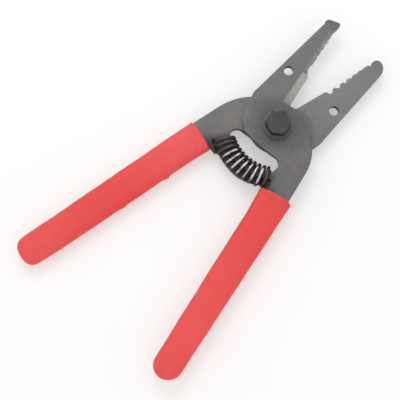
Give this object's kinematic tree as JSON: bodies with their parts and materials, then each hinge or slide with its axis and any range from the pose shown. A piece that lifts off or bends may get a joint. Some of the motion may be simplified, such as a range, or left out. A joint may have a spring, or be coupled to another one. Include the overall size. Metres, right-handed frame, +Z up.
{
  "type": "wire stripper",
  "caption": "Scissor-type wire stripper and cutter: two lapped flat steel jaws on a hex-head pivot bolt, spring-opened, with red dipped vinyl grips.",
  "frame": {"origin": "where the pivot's axis meets the plane the tool rests on, at the bolt's end", "axes": "+Y along the tool's centreline towards the jaws, +Z up along the pivot towards the bolt's head, +X to the right"},
  "size_m": [0.0852, 0.1629, 0.0138],
  "materials": {
    "oxide_steel": "black-oxide blued, satin, bright ground bevels",
    "red_vinyl": "dipped vinyl, soft satin",
    "black_bolt": "black oxide, slightly oily",
    "spring_wire": "drawn spring wire"
  },
  "bodies": {
    "lower_half": {"lower_lever": "oxide_steel", "lower_grip": "red_vinyl", "pivot_bolt": "black_bolt", "head_washer": "black_bolt", "spring_washer": "black_bolt", "pivot_nut": "black_bolt", "return_spring": "spring_wire"},
    "upper_half": {"upper_lever": "oxide_steel", "upper_grip": "red_vinyl"}
  },
  "joints": [
    {"name": "pivot", "type": "hinge", "parent": "lower_half", "child": "upper_half", "pos_m": [0, 0, 0.0062], "axis": [0, 0, -1], "range_deg": [0, 25], "stiffness_Nm_per_rad": 0.9, "springref_deg": -20.05, "deforming": ["return_spring"]}
  ]
}
